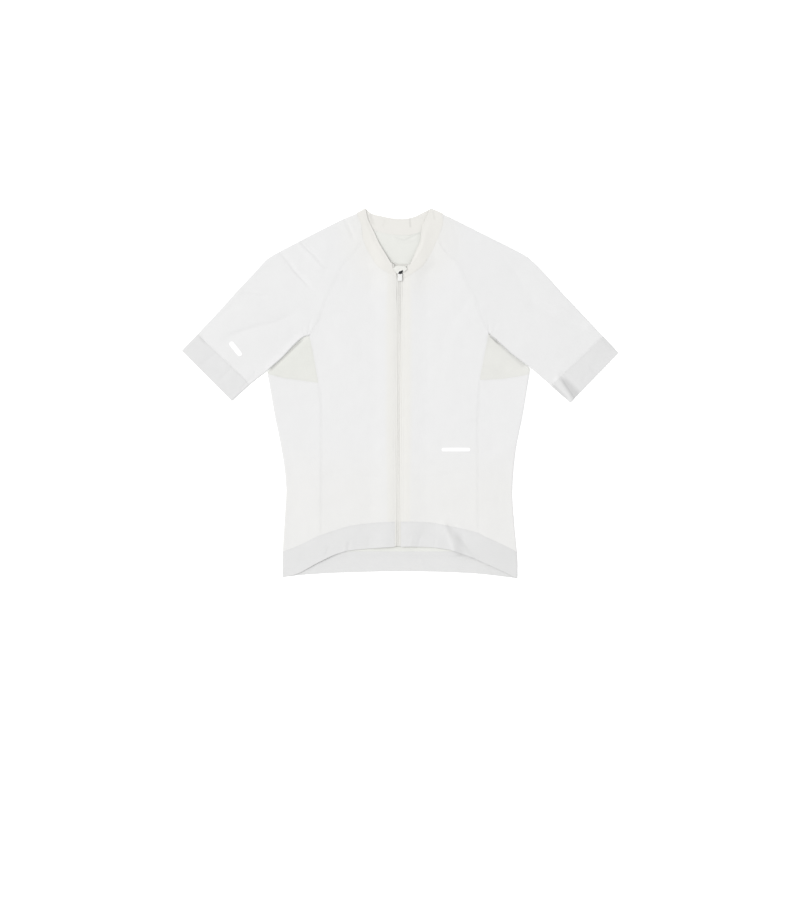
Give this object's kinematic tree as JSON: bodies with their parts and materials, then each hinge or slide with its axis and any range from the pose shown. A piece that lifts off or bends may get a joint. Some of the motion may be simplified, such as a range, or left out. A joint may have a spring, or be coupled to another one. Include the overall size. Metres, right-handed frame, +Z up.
{
  "type": "cycling jersey",
  "caption": "Short-sleeved cycling jersey with raglan sleeves, a full-length front zip, stand collar, mesh underarms and a back pocket strip, lying flat.",
  "frame": {"origin": "on the resting surface, under the middle of the laid-flat jersey", "axes": "+Z up from the surface, +Y towards the collar, +X towards the viewer's right as seen from above (the wearer's left)"},
  "size_m": [0.7726, 0.6555, 0.0089],
  "materials": {
    "knit": "fine warp knit, matt with a slight sheen",
    "mesh_knit": "open mesh knit, matt",
    "cuff_knit": "ribbed elastic knit, matt",
    "collar_knit": "double knit, matt",
    "gripper": "elastic band with silicone dots inside",
    "tape": "woven zip tape",
    "coil": "nylon coil",
    "slider": "dark lacquered zinc",
    "pull": "white moulded tab"
  },
  "bodies": {
    "jersey": {"front_l": "knit", "front_r": "knit", "back": "knit", "side_l": "knit", "side_r": "knit", "underarm_l": "mesh_knit", "underarm_r": "mesh_knit", "sleeve_l": "knit", "sleeve_r": "knit", "cuff_l": "cuff_knit", "cuff_r": "cuff_knit", "collar": "collar_knit", "hem_band": "gripper", "pocket": "knit", "zip_tape_l": "tape", "zip_tape_r": "tape", "zip_chain": "coil", "zip_guard": "knit", "zip_garage": "collar_knit", "zip_slider": "slider"},
    "pull": {"zip_pull": "pull"}
  },
  "joints": [
    {"name": "pull_hinge", "type": "hinge", "parent": "jersey", "child": "pull", "pos_m": [0.0002, 0.2129, 0.00729], "axis": [-1, 0, 0], "range_deg": [0, 140]}
  ]
}
